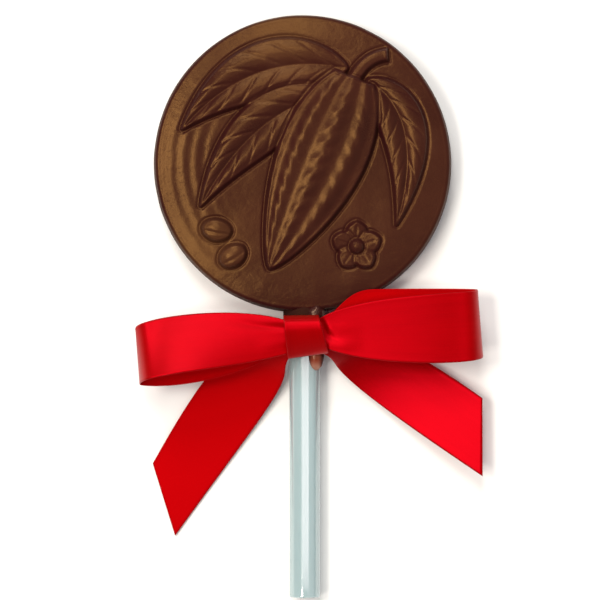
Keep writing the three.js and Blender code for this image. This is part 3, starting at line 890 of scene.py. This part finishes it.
# A strip of ribbon round a surface(u, v), with u from 0 to 1 along it and v across it. Its front faces
# along x across: wrongFront says that the ribbon's wrong side is there.
def stripMesh(name, surface, steps, length, material, wrongFront=False, comesRound=False,
              width=satin["width"]):
    s = satin
    u, v = (np.linspace(0, 1, count + 1) for count in steps)
    uu, vv = np.meshgrid(u, v, indexing="ij")

    def at(a, b):
        a = a % 1 if comesRound else a.clip(0, 1)
        return surface(a.ravel(), b.clip(0, 1).ravel()).reshape(*uu.shape, 3)

    nudge = 1e-4
    middle = at(uu, vv)
    along = at(uu + nudge, vv) - at(uu - nudge, vv)
    across = at(uu, vv + nudge) - at(uu, vv - nudge)
    normal = np.cross(along, across)
    normal /= np.linalg.norm(normal, axis=2, keepdims=True)
    fromEdge = np.minimum(vv, 1 - vv) * width
    ridge = np.exp(-((fromEdge - s["selvedgeIn"]) / s["selvedgeWidth"]) ** 2)
    thick = s["thickness"] / 2 + s["selvedge"] / 2 * ridge
    thick *= np.where(fromEdge < 1e-6, s["edgeShare"], 1)
    front = middle + normal * thick[..., None]
    back = middle - normal * thick[..., None]
    rows, columns = uu.shape
    if comesRound:
        front, back = front[:-1], back[:-1]
        rows -= 1
    half = rows * columns
    points = np.vstack([front.reshape(-1, 3), back.reshape(-1, 3)])
    # the map spans the ribbon's full width, also where the ribbon is gathered
    uvGrid = np.stack([uu[:rows] * length * mm, vv[:rows] * s["width"] * mm], axis=2).reshape(-1, 2)
    frontShift, backShift = (s["mapShift"], 0) if wrongFront else (0, s["mapShift"])
    uvs = np.vstack([uvGrid + (0, frontShift), uvGrid + (0, backShift)])
    faces = []
    last = columns - 1
    for i in range(rows if comesRound else rows - 1):
        here, there = i * columns, (i + 1) % rows * columns
        for j in range(last):
            a, b, c, d = here + j, there + j, there + j + 1, here + j + 1
            faces.append((a, b, c, d))
            faces.append((half + d, half + c, half + b, half + a))
        faces.append((here, half + here, half + there, there))
        faces.append((there + last, half + there + last, half + here + last, here + last))
    if not comesRound:
        end = (rows - 1) * columns
        for j in range(last):
            faces.append((j, j + 1, half + j + 1, half + j))
            faces.append((end + j + 1, end + j, half + end + j, half + end + j + 1))
    return meshObject(name, points, faces, material, uvs)


# Each long edge is a chain of cubic curves from the knot outwards; a loop comes back to the knot behind.
# frontEnds is the share of a loop that is its front. The last fold keeps the front flat up to its end.
loops = {
    "left": {
        "topEdge": [(-1.6, -38.6, 14.5), (-14, -33.2, 12.8), (-40, -37.2, 12.6), (-40, -39.6, 10.6),
                    (-40, -39.9, 8.6), (-20, -34.5, 8), (-1.6, -39.3, 13.7)],
        "lowEdge": [(-1.6, -45, 13.9), (-12, -49.2, 15.4), (-38.9, -50.2, 25), (-38.9, -53.2, 12.2),
                    (-38.9, -53.8, 8.8), (-20.5, -55.2, 7.2), (-1.6, -43.6, 13.2)],
        "frontEnds": 0.5, "flatLength": 84.0, "wrongFront": False,
        "folds": [
            {"path": [(-3.5, -39.7), (-8, -39.3), (-13, -38.6), (-21, -37.2)], "lift": -0.3, "width": 0.7},
            {"path": [(-3.5, -38.1), (-8, -37.6), (-14, -37.0)], "lift": 0.2, "width": 0.7},
            {"path": [(-3.5, -43.0), (-8, -43.8), (-12, -44.6)], "lift": 0.15, "width": 1.2},
            {"path": [(-38.8, -36), (-38.2, -60)], "lift": 0.9, "width": 2.8, "hold": 0.95, "spread": 0},
        ],
    },
    "right": {
        "topEdge": [(1.6, -39.4, 14.5), (8.5, -30.8, 14.1), (41.9, -31.5, 17.8), (41.9, -30.4, 11.2),
                    (41.9, -30.1, 8.2), (26, -30.1, 9), (17, -30.3, 9.9),
                    (10, -30.5, 10.7), (9.5, -35.5, 12.9), (1.6, -40.2, 13.7)],
        "lowEdge": [(1.6, -42.2, 13.9), (10.8, -49.7, 14.2), (43.2, -48.4, 18.8), (43.2, -46.6, 11),
                    (43.2, -45.6, 7), (30, -46.2, 7.6), (20, -46.6, 8.6),
                    (13, -46.9, 9.4), (8.5, -44.8, 13.1), (1.6, -42.8, 13.1)],
        "frontEnds": 1 / 3, "flatLength": 88.0, "wrongFront": True,
        "folds": [
            {"path": [(4.4, -37.9), (5.8, -40.8), (7.5, -42.5), (10.5, -43.1)], "lift": -0.4, "width": 0.55},
            {"path": [(6.5, -43.6), (10, -43.9), (15, -43.4)], "lift": 0.25, "width": 1.1},
            {"path": [(6.5, -39.4), (9, -39.8), (15, -40.4)], "lift": 0.2, "width": 1.3},
            {"path": [(41.2, -26), (41.8, -60)], "lift": 0.8, "width": 3.2, "hold": 0.95, "spread": 0},
        ],
    },
}

tails = {
    "left": {
        "topEdge": [(0.2, -39.8, 10.35), (-5, -39.2, 10.35), (-11, -40.5, 9.3), (-16, -44.5, 5),
                    (-21.6, -48, 1.2), (-28.2, -58, 0.7), (-36.2, -72.4, 0.75)],
        "lowEdge": [(0.2, -45.3, 10.35), (-2.2, -45.4, 10.35), (-4, -46.5, 10), (-4.2, -50.2, 6.6),
                    (-4.5, -55, 2.2), (-12.5, -64.5, 0.5), (-30.8, -89.9, 0.75)],
        "flatLength": 60.0, "curl": 0.3, "wrongFront": True,
    },
    "right": {
        "topEdge": [(0.8, -39.8, 10.35), (7, -39.2, 10.8), (13, -40, 6.1), (18, -42, 2),
                    (23.5, -43.6, -0.9), (33.3, -49.3, 3.5), (43.3, -56.5, 6.3)],
        "lowEdge": [(0.8, -45.3, 10.35), (4, -45.3, 10.55), (6.2, -45.6, 10.1), (8, -48.5, 5.2),
                    (11, -53.3, -1.6), (26, -63.7, 4.2), (43.3, -75.3, 7.6)],
        "flatLength": 56.0, "curl": 0.3, "wrongFront": True,
    },
}

loopSteps = (220, 44)
tailSteps = (140, 40)

# the sleeve round the middle of the bow: a squared oval with slanted left and right edges. Its low edge
# is lower at the left, and its front leans back towards that edge.
knot = {
    "y": -41.5, "z": 14.15, "halfHeight": 4.85, "frontDepth": 3.6, "backDepth": 3.0, "squareness": 2.35,
    "leftX": (-4.6, -3.5), "rightX": (3.9, 6.2), "tilt": 0.02, "droop": 0.125, "lean": 0.42,
    "flatLength": 27.0, "steps": (160, 32),
}

# the turn that ties the knot to the stick, with a bulge over the drip. Its pleats are smoothed out where
# it lies under the knot. Angles in degrees.
turn = {
    "x": 0.55, "z": 4.9, "radius": 4.3, "bulge": 1.6, "bulgeAngle": 39, "spread": 32,
    "topY": -39.2, "lowY": -45.5, "flatLength": 30.0, "steps": (160, 36),
    "pleat": 0.32, "pleats": 3, "smoothed": 0.85, "smoothAngle": 75, "smoothSpread": 55,
}


def loopSurface(s):
    def surface(u, v):
        v = v[:, None]
        place = chainPoints(s["topEdge"], u) * (1 - v) + chainPoints(s["lowEdge"], u) * v
        front = smoothStep(s["frontEnds"], s["frontEnds"] * 0.8, u)
        place[:, 2] += front * foldLift(s["folds"], place[:, 0], place[:, 1])
        return place
    return surface


def tailSurface(s):
    def surface(u, v):
        column = v[:, None]
        place = chainPoints(s["topEdge"], u) * (1 - column) + chainPoints(s["lowEdge"], u) * column
        # beyond the knot the middle of the width stands a little proud
        place[:, 2] += s["curl"] * 4 * v * (1 - v) * smoothStep(0.25, 0.6, u)
        return place
    return surface


def knotSurface(u, v):
    angle = 2 * math.pi * u
    power = 2 / knot["squareness"]
    high = np.sign(np.cos(angle)) * np.abs(np.cos(angle)) ** power
    deep = np.sign(np.sin(angle)) * np.abs(np.sin(angle)) ** power
    lower = (1 - high) / 2
    left = knot["leftX"][0] + (knot["leftX"][1] - knot["leftX"][0]) * lower
    right = knot["rightX"][0] + (knot["rightX"][1] - knot["rightX"][0]) * lower
    x = left + (right - left) * v
    y = knot["y"] + knot["halfHeight"] * high + x * (knot["tilt"] + knot["droop"] * lower)
    lean = knot["lean"] * (y - knot["y"]) * np.maximum(0, deep)
    depth = np.where(deep > 0, knot["frontDepth"], knot["backDepth"])
    return np.stack([x, y, knot["z"] + depth * deep + lean], axis=1)


def turnSurface(u, v):
    angle = 2 * math.pi * u

    def near(middle, spread):
        away = (360 * u - middle + 180) % 360 - 180
        return np.exp(-(away / spread) ** 2)

    radius = turn["radius"] + turn["bulge"] * near(turn["bulgeAngle"], turn["spread"])
    free = 1 - turn["smoothed"] * near(turn["smoothAngle"], turn["smoothSpread"])
    radius = radius + turn["pleat"] * free * np.cos(2 * math.pi * turn["pleats"] * v)
    return np.stack([turn["x"] + radius * np.cos(angle),
                     turn["topY"] + (turn["lowY"] - turn["topY"]) * v,
                     turn["z"] + radius * np.sin(angle)], axis=1)


def makeBow():
    red = satinMaterial(satin)
    for side, s in loops.items():
        made = stripMesh(f"ribbonLoop{side.title()}", loopSurface(s), loopSteps, s["flatLength"], red,
                         wrongFront=s["wrongFront"])
        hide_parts(f"bow_loop_{side}")
    for side, s in tails.items():
        made = stripMesh(f"ribbonTail{side.title()}", tailSurface(s), tailSteps, s["flatLength"], red,
                         wrongFront=s["wrongFront"])
        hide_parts(f"bow_tail_{side}")
    made = stripMesh("ribbonKnot", knotSurface, knot["steps"], knot["flatLength"], red,
                     comesRound=True, width=satin["narrowWidth"])
    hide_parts("bow_knot")
    made = stripMesh("ribbonTurn", turnSurface, turn["steps"], turn["flatLength"], red,
                     comesRound=True, width=satin["narrowWidth"])
    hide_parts("bow_turn")


makeBow()
print("bow ready")
